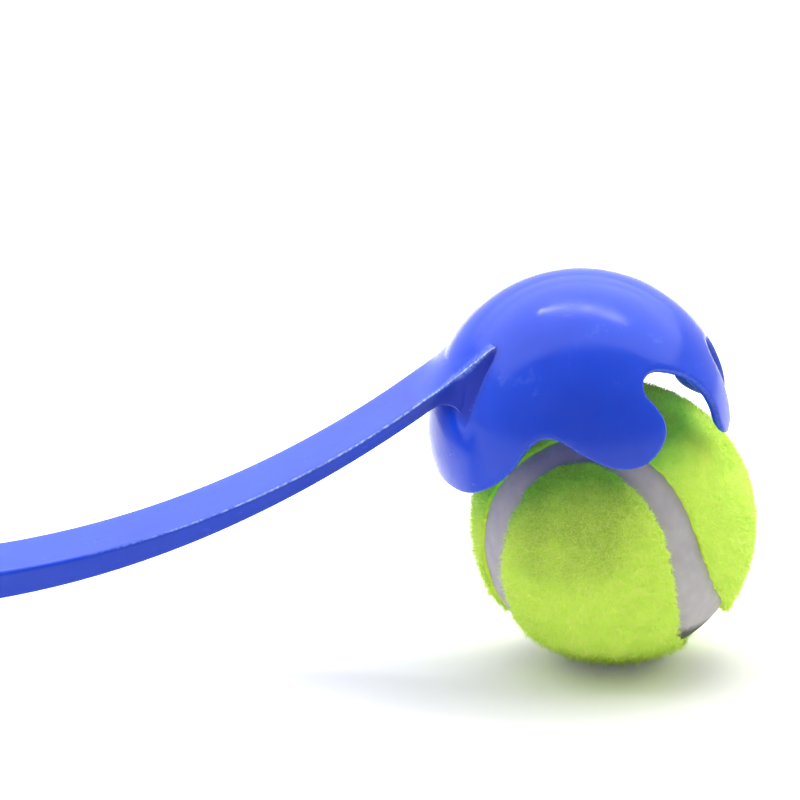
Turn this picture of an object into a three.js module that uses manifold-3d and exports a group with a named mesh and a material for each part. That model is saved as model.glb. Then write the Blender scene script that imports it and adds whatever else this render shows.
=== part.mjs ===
// Ball launcher for pet play, standing cup-down over its felt-covered ball.
// Millimetres, +Z up. +X runs from the grip to the cup, and the floor is z = 0: the ball and the
// heel of the grip touch it. Lengths along X are written from the ball's centre, and the whole
// part is moved at the end so that the middle of its box is at x = 0, y = 0.
import * as THREE from 'three';
import Module from 'manifold-3d';

// Ball
const ballRadius = 31.4;
const feltThickness = 2.6;
const glueGap = 0.3;
const coreWall = 3.6;
const seamWidth = 7.2;
const seamSink = 0.9;
const seamSideGap = 0.3;
const seamShape = 0.184;
const seamTurn = { x: -178.6, y: -4.0, z: 23.6 };
// Places along the seam, in degrees, where the second felt panel is cut short
const seamFlares = [
  { at: 62, run: 36, extra: 5.3 },
  { at: 173, run: 26, extra: 2.3 },
];

// Cup
const seatClearance = 0.6;
const passClearance = 0.3;
const cupWall = 1.9;
const rimChamfer = 0.55;
const cutterReach = 10;
const restSlide = 25.1;
const mouthTilt = 17.9;
// The rim as seen from the mouth axis, from the front by the near side to the back and on by
// the far side: azimuth, dip past the equator, in degrees
const rimPoints = [
  [6.5, -17.4], [13, -16.6], [16.4, -12.5], [16.8, -4], [17.2, 4.4], [19, 12.4], [24, 15.5],
  [29.2, 13.6], [32.2, 8.5], [33.2, 1.5], [35.8, -6], [41.5, -14.5], [49, -20.6], [56, -23.6],
  [61.4, -22.2], [63.4, -18], [61.6, -12], [60.4, -6.5], [61.4, -1], [65.5, 3.6], [74, 6.9],
  [85, 3.8], [95, -5.2], [102, -12.6], [108, -14.7], [115, -12], [123.5, -5], [135, 0.7],
  [149, 3.8], [165, 1.9], [180, -1.6],
  [-165, 1.9], [-149, 3.8], [-135, 0.7], [-123.5, -5], [-115, -12], [-108, -14.7], [-102, -12.6],
  [-95, -5.2], [-85, 3.8], [-74, 6.9], [-65.5, 3.6], [-61.4, -1], [-60.4, -6.5], [-61.6, -12],
  [-62, -18], [-58, -21.6], [-51.5, -19.5], [-45.5, -11], [-42.5, -2], [-42, 5], [-39.8, 10.2],
  [-34, 13.6], [-25, 14.9], [-15, 13.4], [-7.5, 9], [-4, 1], [-3.2, -7.5], [-0.5, -14.6],
];

// Arm: the top line leaves the cup at the neck, bends down and runs straight to the grip
const neckReach = 38.6;
const neckRise = 7.2;
const neckSlope = 34.94;
const bendRadius = 207.3;
const straightSlope = 2;
const straightLength = 142;
const armThickness = 6.8;
const neckThickness = 2.9;
const armHalfWidth = 10.4;
const neckHalfWidth = 11.9;
const thickeningRun = 125;
const armEdgeRadius = 0.6;
const rootEdgeRadius = 0.35;

// Root of the arm, measured from the centre of the cup: upright sections at a distance behind
// it, each with the height and half width of its top edge, of the crease where its side meets
// the cup and of its lower edge, and with the height of its top in the middle plane
const rootSections = [
  { x: -36.2, edge: [8.9, 11.8], crease: [7.1, 11.8], low: [5.3, 11.8], crown: 8.9 },
  { x: -34.0, edge: [10.4, 11.9], crease: [8.7, 12.0], low: [7.0, 12.2], crown: 10.8 },
  { x: -31.7, edge: [12.1, 12.1], crease: [10.0, 12.6], low: [8.1, 13.2], crown: 13.3 },
  { x: -29.4, edge: [14.0, 12.3], crease: [10.6, 13.8], low: [7.9, 15.2], crown: 16.5 },
  { x: -28.0, edge: [15.3, 12.7], crease: [9.4, 16.3], low: [6.2, 17.3], crown: 18.7 },
  { x: -26.9, edge: [16.4, 13.2], crease: [7.9, 18.9], low: [2.4, 18.6], crown: 20.1 },
  { x: -25.0, edge: [18.1, 14.1], crease: [12.1, 19.1], low: [5.0, 19.2], crown: 22.4 },
  { x: -22.5, edge: [20.4, 15.2], crease: [17.9, 17.9], low: [12.0, 18.0], crown: 24.9 },
  { x: -20.0, edge: [22.4, 15.8], crease: [21.2, 16.0], low: [17.0, 15.0], crown: 26.8 },
];

// Grip
const gripLength = 122;
const gripHalfWidth = 14;
const gripBlend = 26;
const gripSwell = 3.2;
const gripEdgeRadius = 5;
const gripClearance = 2.6;
const fingerGrooves = 4;
const grooveDepth = 2.8;
const heelLength = 34;
const heelFlatShare = 0.75;
const heelHalfWidth = 11.5;
const heelEdgeRadius = 2.4;
const buttRound = 5;
const hangHoleRadius = 4.2;
const hangHoleInset = 13.5;
const hangHoleFlare = 1.2;

// Fineness of the meshes, in counts
const rimSteps = 240;
const bowlColumns = 84;
const bowlRows = 13;
const bowlDip = 18.5;
const cutterDip = 40;
const legSteps = 2;
const panelRows = 40;
const panelColumns = 10;
const seamSteps = 84;
const coreColumns = 28;
const coreRows = 6;
const holeSteps = 32;

const { sin, cos, asin, sqrt, hypot, PI, max, min } = Math;
const { degToRad, lerp, smoothstep } = THREE.MathUtils;
const half = 0.5;
const cupInner = ballRadius + seatClearance;
const passRadius = ballRadius + passClearance;
const cupOuter = cupInner + cupWall;
const coreRadius = ballRadius - feltThickness - glueGap;
const tilt = degToRad(mouthTilt);
const ballCentre = new THREE.Vector3(0, 0, ballRadius);
const mouthAxis = new THREE.Vector3(sin(tilt), 0, -cos(tilt));
const mouthFront = new THREE.Vector3(cos(tilt), 0, sin(tilt));
const nearSide = new THREE.Vector3(0, -1, 0);
const cupCentre = ballCentre.clone().addScaledVector(mouthAxis, -restSlide);

const wasm = await Module();
wasm.setup();
const { Manifold, Mesh: SolidMesh } = wasm;

// Joins rings of the same count into one closed body; a ring of one point closes an end.
function skin(rings, loops = false) {
  const points = [];
  const starts = rings.map((ring) => {
    const start = points.length;
    points.push(...ring);
    return start;
  });
  const faces = [];
  const pairs = loops ? rings.length : rings.length - 1;
  for (let row = 0; row < pairs; row += 1) {
    const next = (row + 1) % rings.length;
    const [a, b] = [starts[row], starts[next]];
    const [na, nb] = [rings[row].length, rings[next].length];
    const count = max(na, nb);
    for (let i = 0; i < count; i += 1) {
      const j = (i + 1) % count;
      if (na > 1) {
        faces.push([a + i, a + j, b + (nb > 1 ? j : 0)]);
      }
      if (nb > 1) {
        faces.push([a + (na > 1 ? i : 0), b + j, b + i]);
      }
    }
  }
  return { points, faces };
}

function signedVolume({ points, faces }) {
  return faces.reduce((sum, [a, b, c]) => {
    const cross = points[b].clone().cross(points[c]);
    return sum + points[a].dot(cross);
  }, 0);
}

function solidOf(body) {
  const turned = signedVolume(body) < 0;
  const corners = body.faces.flatMap(([a, b, c]) => (turned ? [a, c, b] : [a, b, c]));
  return new Manifold(new SolidMesh({
    numProp: 3,
    vertProperties: new Float32Array(body.points.flatMap((point) => point.toArray())),
    triVerts: new Uint32Array(corners),
  }));
}

function middleOf(ring) {
  const middle = new THREE.Vector3();
  ring.forEach((point) => middle.add(point));
  return middle.divideScalar(ring.length);
}

function loft(rings) {
  const ends = [rings[0], rings[rings.length - 1]].map((ring) => [middleOf(ring)]);
  return skin([ends[0], ...rings, ends[1]]);
}

function sphereBody(radius, centre) {
  const around = coreColumns * 2;
  const rows = [];
  for (let row = 0; row <= coreColumns; row += 1) {
    const polar = (PI * row) / coreColumns;
    const ends = row === 0 || row === coreColumns;
    const ring = Array.from({ length: ends ? 1 : around }, (_, i) => {
      const turn = (2 * PI * i) / around;
      const direction = new THREE.Vector3(sin(polar) * cos(turn), sin(polar) * sin(turn), cos(polar));
      return direction.multiplyScalar(radius).add(centre);
    });
    rows.push(ring);
  }
  return skin(rows);
}

// Cup: a spherical wall between a pole on top and a lobed, rounded rim.
function cupDirection(azimuth, dip) {
  return new THREE.Vector3()
    .addScaledVector(mouthFront, cos(dip) * cos(azimuth))
    .addScaledVector(nearSide, cos(dip) * sin(azimuth))
    .addScaledVector(mouthAxis, sin(dip));
}

function rimDirections() {
  const controls = rimPoints.map(([azimuth, dip]) => cupDirection(degToRad(azimuth), degToRad(dip)));
  const curve = new THREE.CatmullRomCurve3(controls, true, 'centripetal');
  return curve.getSpacedPoints(rimSteps).slice(0, rimSteps).map((point) => point.normalize());
}

// The same outline drawn back from the rim by an angle, into the wall.
function drawnBack(directions, angle) {
  const count = directions.length;
  return directions.map((direction, i) => {
    const along = directions[(i + 1) % count].clone().sub(directions[(i + count - 1) % count]);
    const inward = along.cross(direction).normalize();
    return direction.clone().multiplyScalar(cos(angle)).addScaledVector(inward, sin(angle)).normalize();
  });
}

// The whole bowl before its lobes are cut: below the equator the inside stays wide enough
// to let the ball pass.
function bowlBody() {
  const row = (place, share) => {
    const dip = lerp(-PI / 2, degToRad(bowlDip), share);
    return Array.from({ length: bowlColumns }, (_, i) => (
      place(cupDirection((2 * PI * i) / bowlColumns, dip))
    ));
  };
  const outside = [];
  const inside = [];
  for (let i = 1; i <= bowlRows; i += 1) {
    outside.push(row(outerPoint, i / bowlRows));
    inside.unshift(row(innerPoint, i / bowlRows));
  }
  const pole = mouthAxis.clone().negate();
  return skin([[outerPoint(pole)], ...outside, ...inside, [innerPoint(pole)]]);
}

function innerPoint(direction) {
  const point = direction.clone().multiplyScalar(cupInner);
  const depth = point.dot(mouthAxis);
  if (depth > 0) {
    const radial = point.clone().addScaledVector(mouthAxis, -depth);
    const wider = max(1, passRadius / radial.length());
    point.copy(radial.multiplyScalar(wider)).addScaledVector(mouthAxis, depth);
  }
  return point.add(cupCentre);
}

function outerPoint(direction) {
  return direction.clone().multiplyScalar(cupOuter).add(cupCentre);
}

// What the bowl loses: all beyond the rim line, with both edges of the wall chamfered.
function rimCutter() {
  const rim = rimDirections();
  const start = degToRad(rimPoints[0][0]);
  const skirt = rim.map((_, i) => (
    cupDirection(start + (2 * PI * i) / rimSteps, degToRad(cutterDip))
  ));
  const level = (directions, radius) => (
    directions.map((direction) => direction.clone().multiplyScalar(radius).add(cupCentre))
  );
  const spare = cupWall;
  const opened = drawnBack(rim, (rimChamfer + spare) / cupOuter);
  return skin([
    level(opened, cupInner - spare),
    level(rim, cupInner + rimChamfer),
    level(rim, cupOuter - rimChamfer),
    level(opened, cupOuter + spare),
    level(opened, cupOuter + cutterReach),
    level(skirt, cupOuter + cutterReach),
    level(skirt, cupInner - spare),
  ], true);
}

// Outline of one section of the arm: rounded corners, a crowned top and sides with a crease.
function section({ edge, crown, under, half: top, low, crease, radius, lowRadius }) {
  const up = edge.clone().sub(under);
  const rise = up.length();
  up.normalize();
  const side = [];
  const corner = (width, level, reach, turn) => {
    for (let i = 0; i <= 2; i += 1) {
      const angle = (turn + i / 2) * (PI / 2);
      side.push([width - reach + reach * cos(angle), level + reach * sin(angle)]);
    }
  };
  const lowReach = min(lowRadius, rise * half);
  const topReach = min(radius, rise * half);
  const stops = [[low, lowReach], [lerp(low, top, half), rise * half], [top, rise - topReach]];
  if (crease) {
    stops[1] = [crease.width, crease.level];
  }
  corner(low, lowReach, lowReach, -1);
  stops.slice(0, -1).forEach(([width, level], leg) => {
    const [nextWidth, nextLevel] = stops[leg + 1];
    for (let i = 1; i <= legSteps; i += 1) {
      const share = i / (legSteps + leg);
      side.push([lerp(width, nextWidth, share), lerp(level, nextLevel, share)]);
    }
  });
  corner(top, rise - topReach, topReach, 0);
  const place = ([width, level]) => under.clone().addScaledVector(up, level).setY(width);
  const right = side.map(([width, level]) => place([-width, level]));
  const left = side.map(([width, level]) => place([width, level])).reverse();
  const flat = top - topReach;
  const across = [-3, -2, -1, 0, 1, 2, 3].map((step) => {
    const share = step / 4;
    const level = crown.clone().sub(edge).multiplyScalar(1 - share * share);
    return edge.clone().add(level).setY(flat * share);
  });
  return [...right, ...across, ...left];
}

// The top line of the arm from the neck: [point, slope] at a run along it.
const bendSweep = degToRad(neckSlope - straightSlope);
const bendRun = bendRadius * bendSweep;
const neck = cupCentre.clone().add(new THREE.Vector3(-neckReach, 0, neckRise));

function topLine(run) {
  const first = degToRad(neckSlope);
  const bent = min(run, bendRun);
  const slope = first - bent / bendRadius;
  const point = neck.clone();
  point.x -= bendRadius * (sin(first) - sin(slope));
  point.z -= bendRadius * (cos(slope) - cos(first));
  const straight = max(run - bendRun, 0);
  point.x -= straight * cos(slope);
  point.z -= straight * sin(slope);
  return { point, slope };
}

const gripStart = bendRun + straightLength;
const gripEnd = gripStart + gripLength;
const heelTop = topLine(gripEnd).point.z;

function armStation(run) {
  const { point, slope } = topLine(run);
  const taper = smoothstep(run, 0, thickeningRun);
  const blend = smoothstep(run, gripStart, gripStart + gripBlend);
  const swellRun = gripLength - heelLength;
  const onGrip = THREE.MathUtils.clamp((run - gripStart) / swellRun, 0, 1);
  const heel = smoothstep(run, gripEnd - heelLength, gripEnd - heelLength * heelFlatShare);
  const butt = smoothstep(run, gripEnd - buttRound, gripEnd);
  const edge = point.clone();
  const normal = new THREE.Vector3(-sin(slope), 0, cos(slope));
  edge.addScaledVector(normal, gripSwell * sin(PI * onGrip) ** 2);
  const thin = lerp(neckThickness, armThickness, taper);
  const under = point.clone().addScaledVector(normal, -thin);
  const wave = half * (1 - cos(2 * PI * onGrip * fingerGrooves));
  const sole = lerp(gripClearance, 0, onGrip) + grooveDepth * wave * (1 - heel);
  under.z = lerp(under.z, lerp(sole, 0, heel), blend);
  const wide = lerp(neckHalfWidth, armHalfWidth, taper);
  const broad = lerp(lerp(wide, gripHalfWidth, blend), heelHalfWidth, heel);
  const radius = lerp(lerp(armEdgeRadius, gripEdgeRadius, blend), heelEdgeRadius, heel);
  return {
    edge,
    crown: edge.clone(),
    under,
    half: broad - buttRound * (1 - sqrt(1 - (butt * 0.9) ** 2)),
    low: broad - buttRound * (1 - sqrt(1 - (butt * 0.9) ** 2)),
    radius,
    lowRadius: radius,
  };
}

function armRuns() {
  const runs = [];
  const add = (from, to, count) => {
    for (let i = 0; i < count; i += 1) {
      runs.push(lerp(from, to, i / count));
    }
  };
  add(0, bendRun, 20);
  add(bendRun, gripStart, 3);
  add(gripStart, gripEnd - heelLength, 34);
  add(gripEnd - heelLength, gripEnd - buttRound, 7);
  add(gripEnd - buttRound, gripEnd, 4);
  runs.push(gripEnd);
  return runs;
}

function launcherSolid() {
  const root = rootSections.map(({ x, edge, crease, low, crown }) => {
    const place = (z) => cupCentre.clone().add(new THREE.Vector3(x, 0, z));
    return section({
      edge: place(edge[0]),
      crown: place(crown),
      under: place(low[0]),
      half: edge[1],
      low: low[1],
      crease: { width: crease[1], level: crease[0] - low[0] },
      radius: rootEdgeRadius,
      lowRadius: armEdgeRadius,
    });
  }).reverse();
  const arm = loft([...root, ...armRuns().map((run) => section(armStation(run)))]);
  const wallMiddle = sphereBody(cupInner + cupWall * half, cupCentre);
  const kept = solidOf(arm).subtract(solidOf(wallMiddle));
  return solidOf(bowlBody()).subtract(solidOf(rimCutter())).add(kept).subtract(solidOf(hangHole()));
}

function hangHole() {
  const { point } = topLine(gripEnd - hangHoleInset);
  const levels = [
    [-heelTop, hangHoleFlare],
    [-hangHoleFlare, hangHoleFlare * 2],
    [0, hangHoleFlare],
    [hangHoleFlare, 0],
    [point.z - hangHoleFlare, 0],
    [point.z, hangHoleFlare],
    [point.z + hangHoleFlare, hangHoleFlare * 2],
    [point.z + heelTop, hangHoleFlare],
  ];
  return loft(levels.map(([z, wider]) => (
    Array.from({ length: holeSteps }, (_, i) => {
      const turn = (2 * PI * i) / holeSteps;
      const reach = hangHoleRadius + wider;
      return new THREE.Vector3(point.x + reach * cos(turn), reach * sin(turn), z);
    })
  )));
}

// Ball: the seam is the usual closed curve of a felt-covered ball.
const seamRotation = new THREE.Euler(
  degToRad(seamTurn.x), degToRad(seamTurn.y), degToRad(seamTurn.z), 'ZYX',
);

function seamDirection(t) {
  const a = 1 - seamShape;
  const b = seamShape;
  return new THREE.Vector3(
    a * cos(t) + b * cos(3 * t),
    a * sin(t) - b * sin(3 * t),
    2 * sqrt(a * b) * sin(2 * t),
  ).normalize();
}

// A direction beside the seam: reach is an angle, positive to the side of the first panel.
function besideSeam(t, reach) {
  const step = PI / 720;
  const here = seamDirection(t);
  const along = seamDirection(t + step).sub(seamDirection(t - step)).normalize();
  const side = along.cross(here).normalize();
  return here.multiplyScalar(cos(reach)).addScaledVector(side, -sin(reach)).normalize();
}

// What a flare adds to the seam's half width beside the second panel, as an angle.
function seamFlare(t) {
  return seamFlares.reduce((sum, { at, run, extra }) => {
    const away = THREE.MathUtils.euclideanModulo(t - degToRad(at) + PI, 2 * PI) - PI;
    const share = min(Math.abs(away) / degToRad(run), 1);
    return sum + (extra * half * (1 + cos(PI * share))) / ballRadius;
  }, 0);
}

function onBall(direction, radius) {
  return direction.clone().applyEuler(seamRotation).multiplyScalar(radius).add(ballCentre);
}

function slerp(a, b, share) {
  const angle = a.angleTo(b);
  if (angle < 1e-6) {
    return a.clone();
  }
  return a.clone().multiplyScalar(sin(angle * (1 - share)) / sin(angle))
    .addScaledVector(b, sin(angle * share) / sin(angle));
}

// One felt panel: strips across a dumbbell outline, from one rounded end to the other.
function panelBody(second) {
  const reach = (seamWidth * half + seamSideGap) / ballRadius;
  const turn = (direction) => (
    second ? new THREE.Vector3(-direction.y, direction.x, -direction.z) : direction
  );
  const rows = [];
  for (let row = 0; row <= panelRows; row += 1) {
    const t = (3 * PI) / 4 + PI * (row / panelRows);
    const partner = (3 * PI) / 2 - t;
    const cutBack = (place) => reach + (second ? seamFlare(place + PI / 2) : 0);
    const a = besideSeam(t, cutBack(t));
    const b = besideSeam(partner, cutBack(partner));
    const single = row === 0 || row === panelRows;
    const columns = single ? [half] : Array.from({ length: panelColumns + 1 }, (_, i) => i / panelColumns);
    rows.push(columns.map((share) => turn(slerp(a, b, share))));
  }
  const outer = ballRadius;
  const inner = ballRadius - feltThickness;
  const rings = rows.map((row) => {
    const top = row.map((direction) => onBall(direction, outer));
    const bottom = row.map((direction) => onBall(direction, inner)).reverse();
    return [...top, ...bottom];
  });
  return closedStrips(rings);
}

// Rings that run out and back; the end rings are a pair of points, one above the other.
function closedStrips(rings) {
  const inside = rings.slice(1, -1);
  const body = skin(inside);
  const count = inside[0].length;
  const capEnd = (ring, pair) => {
    const start = body.points.length;
    body.points.push(...pair);
    const [top, bottom] = [start, start + 1];
    const flip = ring > 0;
    const face = (a, b, c) => body.faces.push(flip ? [a, b, c] : [a, c, b]);
    const at = (i) => ring * count + i;
    const middle = count * half;
    for (let i = 0; i < middle - 1; i += 1) {
      face(at(i), at(i + 1), top);
      face(at(middle + i), at(middle + i + 1), bottom);
    }
    face(at(middle - 1), at(middle), top);
    face(at(middle), bottom, top);
    face(at(count - 1), at(0), bottom);
    face(at(0), top, bottom);
  };
  capEnd(0, rings[0]);
  capEnd(inside.length - 1, rings[rings.length - 1]);
  return body;
}

function seamBody() {
  const outer = ballRadius - seamSink;
  const inner = ballRadius - feltThickness;
  const edge = (seamWidth * half) / ballRadius;
  const rings = Array.from({ length: seamSteps }, (_, i) => {
    const t = (2 * PI * i) / seamSteps;
    const wide = edge + seamFlare(t);
    const across = [-wide, -wide * half, 0, edge];
    const top = across.map((away) => onBall(besideSeam(t, away), outer));
    const bottom = across.reverse().map((away) => onBall(besideSeam(t, away), inner));
    return [...top, ...bottom];
  });
  return skin(rings, true);
}

// Half of the rubber core, with a thin glue line left between the halves.
function coreBody(sign) {
  const inner = coreRadius - coreWall;
  const arc = (radius, upward) => {
    const start = asin((glueGap * half) / radius);
    const rows = [];
    for (let row = 0; row < coreRows; row += 1) {
      const lift = lerp(start, PI / 2, row / coreRows);
      rows.push(Array.from({ length: coreColumns }, (_, i) => {
        const turn = (2 * PI * i) / coreColumns;
        const direction = new THREE.Vector3(
          cos(lift) * cos(turn), cos(lift) * sin(turn), sign * sin(lift),
        );
        return onBall(direction, radius);
      }));
    }
    rows.push([onBall(new THREE.Vector3(0, 0, sign), radius)]);
    return upward ? rows : rows.reverse();
  };
  return skin([...arc(inner, false), ...arc(coreRadius, true)]);
}

function meshFrom(solid, name, color, roughness) {
  const { numProp, vertProperties, triVerts } = solid.getMesh();
  const geometry = new THREE.BufferGeometry();
  const positions = [];
  for (let i = 0; i < vertProperties.length; i += numProp) {
    positions.push(vertProperties[i], vertProperties[i + 1], vertProperties[i + 2]);
  }
  geometry.setAttribute('position', new THREE.Float32BufferAttribute(positions, 3));
  geometry.setIndex(Array.from(triVerts));
  geometry.computeVertexNormals();
  const material = new THREE.MeshStandardMaterial({ color, roughness, metalness: 0 });
  const mesh = new THREE.Mesh(geometry, material);
  mesh.name = name;
  return mesh;
}

const launcher = new THREE.Group();
launcher.name = 'ball_launcher';
launcher.add(
  meshFrom(launcherSolid(), 'launcher_moulding', 0x3a5ce0, 0.32),
  meshFrom(solidOf(coreBody(1)), 'core_half_a', 0x6f6a70, 0.8),
  meshFrom(solidOf(coreBody(-1)), 'core_half_b', 0x6f6a70, 0.8),
  meshFrom(solidOf(panelBody(false)), 'felt_panel_a', 0xb7ee3a, 1),
  meshFrom(solidOf(panelBody(true)), 'felt_panel_b', 0xb7ee3a, 1),
  meshFrom(solidOf(seamBody()), 'seam_strip', 0xb0a6b6, 0.7),
);

const box = new THREE.Box3().setFromObject(launcher);
const middle = box.getCenter(new THREE.Vector3());
launcher.children.forEach((piece) => piece.geometry.translate(-middle.x, -middle.y, -box.min.z));

export default launcher;
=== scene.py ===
import math

import bpy
import numpy as np
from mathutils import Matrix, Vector
from mathutils.geometry import delaunay_2d_cdt


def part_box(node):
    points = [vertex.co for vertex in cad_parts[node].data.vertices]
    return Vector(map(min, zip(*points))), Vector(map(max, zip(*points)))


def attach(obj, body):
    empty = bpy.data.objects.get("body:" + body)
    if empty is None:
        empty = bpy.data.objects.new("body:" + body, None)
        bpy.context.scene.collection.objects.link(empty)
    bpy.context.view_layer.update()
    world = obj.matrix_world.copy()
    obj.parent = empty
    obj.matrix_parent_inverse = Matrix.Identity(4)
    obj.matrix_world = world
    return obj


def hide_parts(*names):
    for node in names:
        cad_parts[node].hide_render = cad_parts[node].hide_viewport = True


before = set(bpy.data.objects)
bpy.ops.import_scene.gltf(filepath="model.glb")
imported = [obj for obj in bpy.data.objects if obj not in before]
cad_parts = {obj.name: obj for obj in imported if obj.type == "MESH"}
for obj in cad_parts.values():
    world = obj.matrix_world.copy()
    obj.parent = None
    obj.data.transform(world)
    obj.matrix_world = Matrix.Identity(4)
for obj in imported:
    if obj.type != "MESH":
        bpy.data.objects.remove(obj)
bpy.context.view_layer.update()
print("frame loaded")

mm = 0.001
mergeDistance = 0.00001
coreLow = np.minimum(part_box("core_half_a")[0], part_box("core_half_b")[0]) / mm
coreHigh = np.maximum(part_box("core_half_a")[1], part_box("core_half_b")[1]) / mm
ballCentre = (coreLow + coreHigh) / 2
ballCentre[1] = 0

# millimetres and degrees
ball = {
    "radius": 31.4, "feltThickness": 2.6, "seamWidth": 7.2, "seamSideGap": 0.3, "seamSink": 0.9,
    "seamShape": 0.184, "seamTurn": (-178.6, -4.0, 23.6),
    # place along the seam, run to either side and extra width beside the second panel
    "seamFlares": [(62, 36, 5.3), (173, 26, 2.3)],
    # the strip's rows of points, then noise scale and height of its ripple, and its crown
    "seamRows": 420, "seamColumns": 13, "seamRipple": (40, 0.03), "seamCrown": 0.12,
    "smoothAngle": 40,
}
cup = {
    "inner": 32.0, "wall": 1.9, "passRadius": 31.7, "restSlide": 25.1, "mouthTilt": 17.9,
    "rimSteps": 400, "rimBack": 0.6, "rimRows": 7, "sheetStep": 1.7,
    "rim": [
        (6.5, -17.4), (13, -16.6), (16.4, -12.5), (16.8, -4), (17.2, 4.4), (19, 12.4), (24, 15.5),
        (29.2, 13.6), (32.2, 8.5), (33.2, 1.5), (35.8, -6), (41.5, -14.5), (49, -20.6),
        (56, -23.6), (61.4, -22.2), (63.4, -18), (61.6, -12), (60.4, -6.5), (61.4, -1),
        (65.5, 3.6), (74, 6.9), (85, 3.8), (95, -5.2), (102, -12.6), (108, -14.7), (115, -12),
        (123.5, -5), (135, 0.7), (149, 3.8), (165, 1.9), (180, -1.6),
        (-165, 1.9), (-149, 3.8), (-135, 0.7), (-123.5, -5), (-115, -12), (-108, -14.7),
        (-102, -12.6), (-95, -5.2), (-85, 3.8), (-74, 6.9), (-65.5, 3.6), (-61.4, -1),
        (-60.4, -6.5), (-61.6, -12), (-62, -18), (-58, -21.6), (-51.5, -19.5), (-45.5, -11),
        (-42.5, -2), (-42, 5), (-39.8, 10.2), (-34, 13.6), (-25, 14.9), (-15, 13.4),
        (-7.5, 9), (-4, 1), (-3.2, -7.5), (-0.5, -14.6),
    ],
    # the crease beside the root of the arm and the arm's edge, from their common tip
    # downwards: x, z and y from the centre of the cup
    "crease": [(-20.2, 22.25, 15.7), (-21.9, 19.15, 17.4), (-24, 15.25, 18.5),
               (-25.3, 12.15, 19.0), (-26.9, 7.85, 19.2), (-28.1, 3.6, 18.6)],
    "edge": [(-20.2, 22.25, 15.7), (-22.5, 20.4, 15.2), (-25, 18.1, 14.1),
             (-26.9, 16.4, 13.2), (-28, 14.0, 14.0), (-29.6, 6.0, 15.5)],
    "creaseDepth": 1.35, "creaseWall": 0.6, "shadeWidth": 2.2, "wallPower": 1.5, "rimHighlight": 0.05,
    # shares of the crease's run over which it starts and ends
    "creaseEnds": ((0, 0.28), (0.62, 1)), "shadeEnds": ((0, 0.08), (0.8, 1)),
    # rows of finer points beside the crease: shares of the way to the edge and of the wall
    "fineInner": (0, 0.12, 0.3, 0.5, 0.75), "fineWall": (0.35, 0.7, 1.05, 1.8),
    "fineRun": 60, "fineGap": 0.2, "fineClearance": 0.8, "edgeClearance": 0.62,
}
tilt = math.radians(cup["mouthTilt"])
mouthAxis = np.array([math.sin(tilt), 0, -math.cos(tilt)])
mouthFront = np.array([math.cos(tilt), 0, math.sin(tilt)])
nearSide = np.array([0.0, -1.0, 0.0])
cupCentre = ballCentre - mouthAxis * cup["restSlide"]


def unit(vectors):
    return vectors / np.linalg.norm(vectors, axis=-1, keepdims=True)


def smoothstep(value, low, high):
    share = np.clip((value - low) / (high - low), 0, 1)
    return share * share * (3 - 2 * share)


def fadeInOut(value, rise, fall):
    # from 0 to 1 over the first range and back to 0 over the second
    return smoothstep(value, *rise) * (1 - smoothstep(value, *fall))


def deselectAll():
    bpy.ops.object.select_all(action="DESELECT")


def meshPiece(name, points, faces):
    mesh = bpy.data.meshes.new(name)
    mesh.from_pydata([tuple(p * mm) for p in points], [], [tuple(int(i) for i in f) for f in faces])
    mesh.validate()
    piece = bpy.data.objects.new(name, mesh)
    bpy.context.scene.collection.objects.link(piece)
    deselectAll()
    bpy.context.view_layer.objects.active = piece
    piece.select_set(True)
    return piece


def cleanUp():
    bpy.ops.object.mode_set(mode="EDIT")
    bpy.ops.mesh.select_all(action="SELECT")
    bpy.ops.mesh.remove_doubles(threshold=mergeDistance)
    bpy.ops.mesh.normals_make_consistent(inside=False)
    bpy.ops.object.mode_set(mode="OBJECT")


def gridFaces(rows, columns):
    # quads between rows of points, each row closed round
    faces = []
    for row in range(rows - 1):
        for column in range(columns):
            after = (column + 1) % columns
            faces.append((row * columns + column, row * columns + after,
                          (row + 1) * columns + after, (row + 1) * columns + column))
    return faces


def closedSpline(controls, count):
    # closed centripetal Catmull-Rom curve, sampled at even steps of its length
    controls = np.asarray(controls, float)
    fine = []
    total = len(controls)
    for i in range(total):
        p = [controls[(i + k - 1) % total] for k in range(4)]
        knots = [0.0]
        for k in range(3):
            knots.append(knots[-1] + np.linalg.norm(p[k + 1] - p[k]) ** 0.5)
        for t in np.linspace(knots[1], knots[2], 24, endpoint=False):
            level = [(p[k], p[k + 1], knots[k], knots[k + 1]) for k in range(3)]
            a = [lo * (t1 - t) / (t1 - t0) + hi * (t - t0) / (t1 - t0) for lo, hi, t0, t1 in level]
            b = [a[k] * (knots[k + 2] - t) / (knots[k + 2] - knots[k])
                 + a[k + 1] * (t - knots[k]) / (knots[k + 2] - knots[k]) for k in range(2)]
            fine.append(b[0] * (knots[2] - t) / (knots[2] - knots[1])
                        + b[1] * (t - knots[1]) / (knots[2] - knots[1]))
    fine = np.array(fine)
    steps = np.linalg.norm(np.roll(fine, -1, axis=0) - fine, axis=1)
    length = np.concatenate([[0], np.cumsum(steps)])
    places = np.linspace(0, length[-1], count, endpoint=False)
    around = np.vstack([fine, fine[:1]])
    return np.stack([np.interp(places, length, around[:, k]) for k in range(3)], axis=1)


def cupDirection(azimuth, dip):
    azimuth, dip = np.radians(azimuth), np.radians(dip)
    return (mouthFront * math.cos(dip) * math.cos(azimuth)
            + nearSide * math.cos(dip) * math.sin(azimuth) + mouthAxis * math.sin(dip))


def onPlane(directions):
    # stereographic map of the cup's directions, the pole of the dome at the middle
    a = directions @ mouthFront
    b = directions @ nearSide
    c = -(directions @ mouthAxis)
    return np.stack([a, b], axis=1) * (2 * cup["inner"] / (1 + c))[:, None]


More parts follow.
